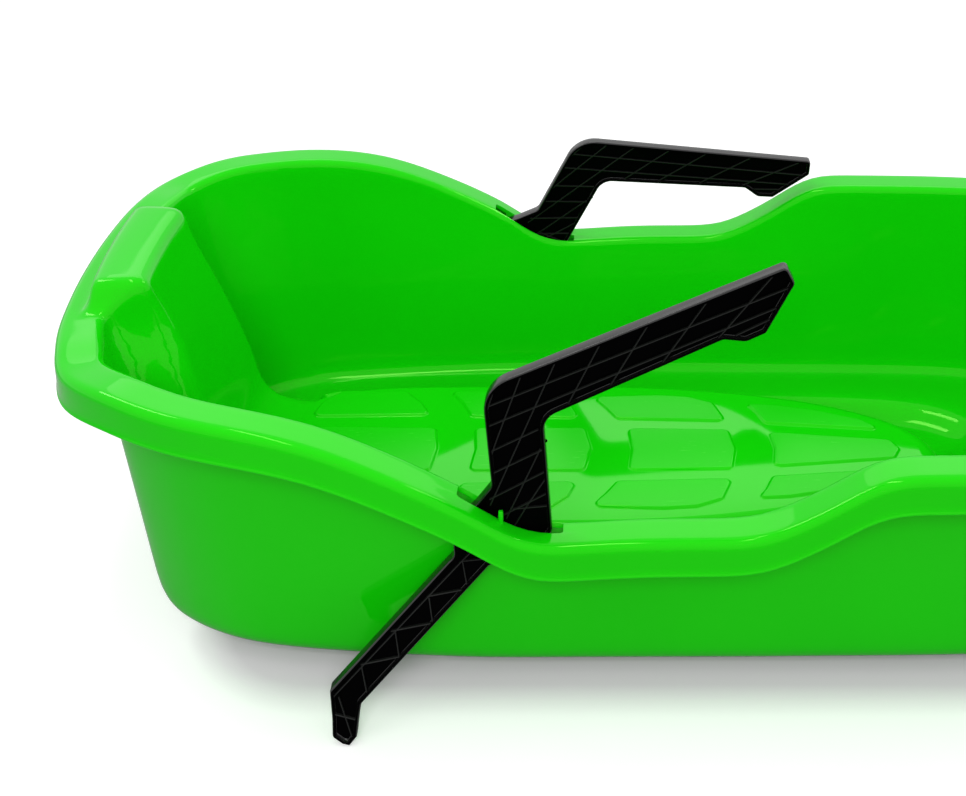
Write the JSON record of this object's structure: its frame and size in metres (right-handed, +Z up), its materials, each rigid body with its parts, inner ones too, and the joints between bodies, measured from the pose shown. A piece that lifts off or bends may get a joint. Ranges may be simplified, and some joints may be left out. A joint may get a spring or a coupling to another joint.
{
  "type": "plastic sled",
  "caption": "One-piece moulded tub sled with a rolled rim, raised patterned floor between two runners, and a hand brake lever hinged in a slot on each side.",
  "frame": {"origin": "bottom centre of the bounding box, on the ground under the runners", "axes": "+X toward the rear of the sled (the nose is at -X), +Y toward the right side of the picture's far wall, +Z up"},
  "size_m": [0.8536, 0.5182, 0.3432],
  "materials": {
    "hull": "gloss",
    "lever": "satin",
    "pin": "satin"
  },
  "bodies": {
    "sled_body": {"hull": "hull", "axle_pin_left": "pin", "axle_pin_right": "pin"},
    "lever_left": {"brake_lever_left": "lever"},
    "lever_right": {"brake_lever_right": "lever"}
  },
  "joints": [
    {"name": "brake_left", "type": "hinge", "parent": "sled_body", "child": "lever_left", "pos_m": [-0.12, -0.20839, 0.15568], "axis": [0, -1, 0], "range_deg": [-31, 12]},
    {"name": "brake_right", "type": "hinge", "parent": "sled_body", "child": "lever_right", "pos_m": [-0.12, 0.20839, 0.15568], "axis": [0, -1, 0], "range_deg": [-1, 42]}
  ]
}
